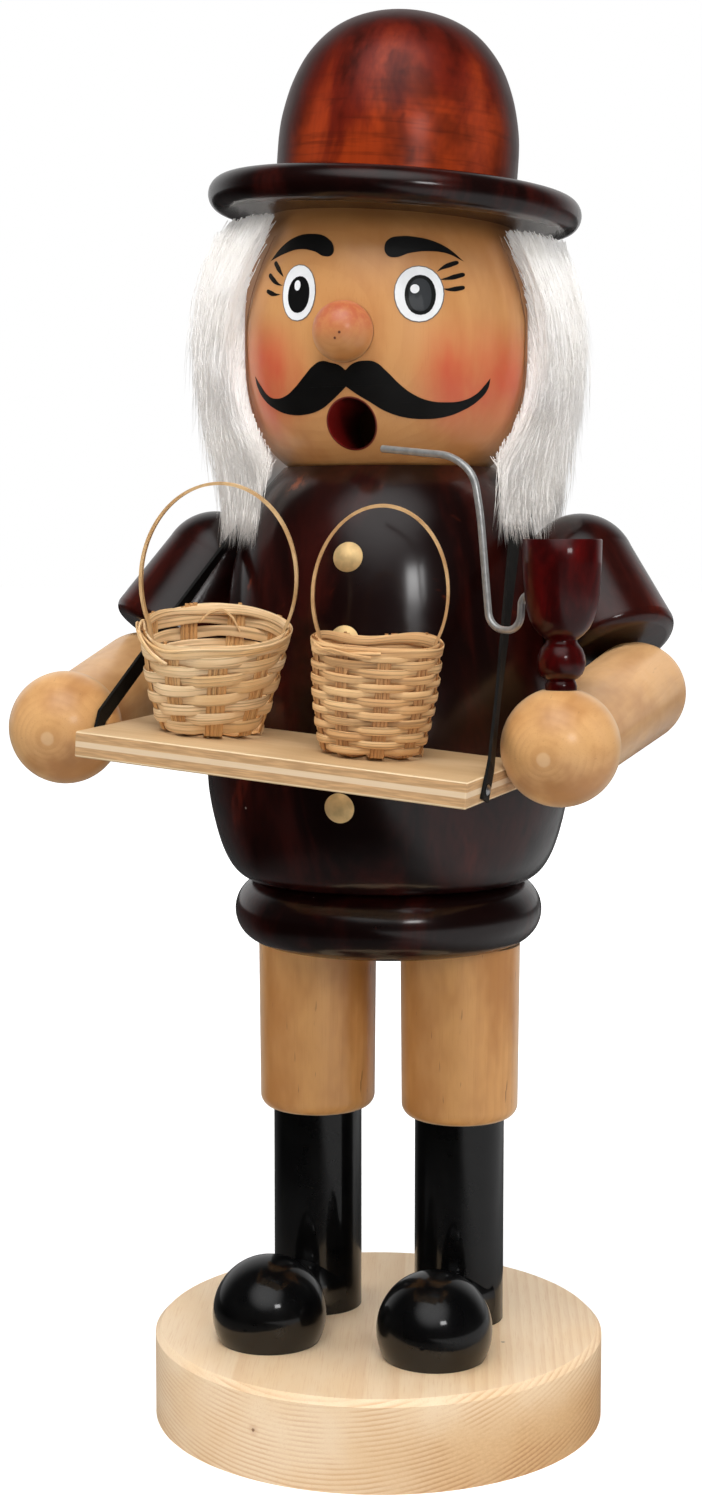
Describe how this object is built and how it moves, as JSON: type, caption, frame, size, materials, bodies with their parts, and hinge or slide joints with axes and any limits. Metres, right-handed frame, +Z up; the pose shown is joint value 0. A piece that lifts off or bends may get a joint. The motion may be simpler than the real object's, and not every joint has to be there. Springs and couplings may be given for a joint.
{
  "type": "incense smoker figure",
  "caption": "Turned wooden smoker figure of a basket pedlar on a round base; the upper body lifts off a spigot over the incense dish and the smoke leaves at the mouth.",
  "frame": {"origin": "middle of the round base's underside", "axes": "+Z up, the figure faces -Y, his own left hand is on the +X side"},
  "size_m": [0.2016, 0.1923, 0.4625],
  "materials": {
    "pale_pine": "clear satin lacquer over pine",
    "black_gloss": "black gloss lacquer",
    "honey_lacquer": "honey coloured satin lacquer",
    "nose_stain": "reddened satin lacquer",
    "beech_dowel": "raw beech",
    "dark_stain": "very dark red brown stain under gloss lacquer",
    "red_stain": "red orange stain under gloss lacquer",
    "cherry_gloss": "deep cherry gloss lacquer",
    "plywood": "sanded plywood, clear lacquer",
    "pale_splint": "raw split wood strips",
    "tan_splint": "stained split wood strips",
    "pressed_tin": "pressed tin, satin",
    "steel_nail": "satin",
    "steel_wire": "bright drawn wire",
    "brass_nail": "polished",
    "black_strap": "black leather cloth",
    "white_fur": "white fur"
  },
  "bodies": {
    "legs_and_base": {"base_plate": "pale_pine", "left_boot": "black_gloss", "right_boot": "black_gloss", "left_shoe": "black_gloss", "right_shoe": "black_gloss", "left_thigh": "honey_lacquer", "right_thigh": "honey_lacquer", "left_leg_dowel": "beech_dowel", "right_leg_dowel": "beech_dowel", "waist_ring": "dark_stain", "incense_dish": "pressed_tin", "dish_nail": "steel_nail"},
    "upper_body": {"torso": "dark_stain", "head": "honey_lacquer", "nose": "nose_stain", "hat_brim": "dark_stain", "hat_crown": "red_stain", "left_sleeve": "dark_stain", "right_sleeve": "dark_stain", "left_forearm": "honey_lacquer", "right_forearm": "honey_lacquer", "left_hand": "honey_lacquer", "right_hand": "honey_lacquer", "left_shoulder_dowel": "beech_dowel", "right_shoulder_dowel": "beech_dowel", "left_elbow_dowel": "beech_dowel", "right_elbow_dowel": "beech_dowel", "left_wrist_dowel": "beech_dowel", "right_wrist_dowel": "beech_dowel", "tray": "plywood", "right_basket": "pale_splint", "right_basket_handle": "pale_splint", "left_basket": "tan_splint", "left_basket_handle": "pale_splint", "pipe_bowl": "cherry_gloss", "pipe_stem": "steel_wire", "button_nails": "brass_nail", "neck_strap": "black_strap", "strap_nails": "steel_nail", "hair": "white_fur"}
  },
  "joints": [
    {"name": "upper_body_lift", "type": "slide", "parent": "legs_and_base", "child": "upper_body", "axis": [0, 0, 1], "range_m": [0, 0.07]}
  ]
}
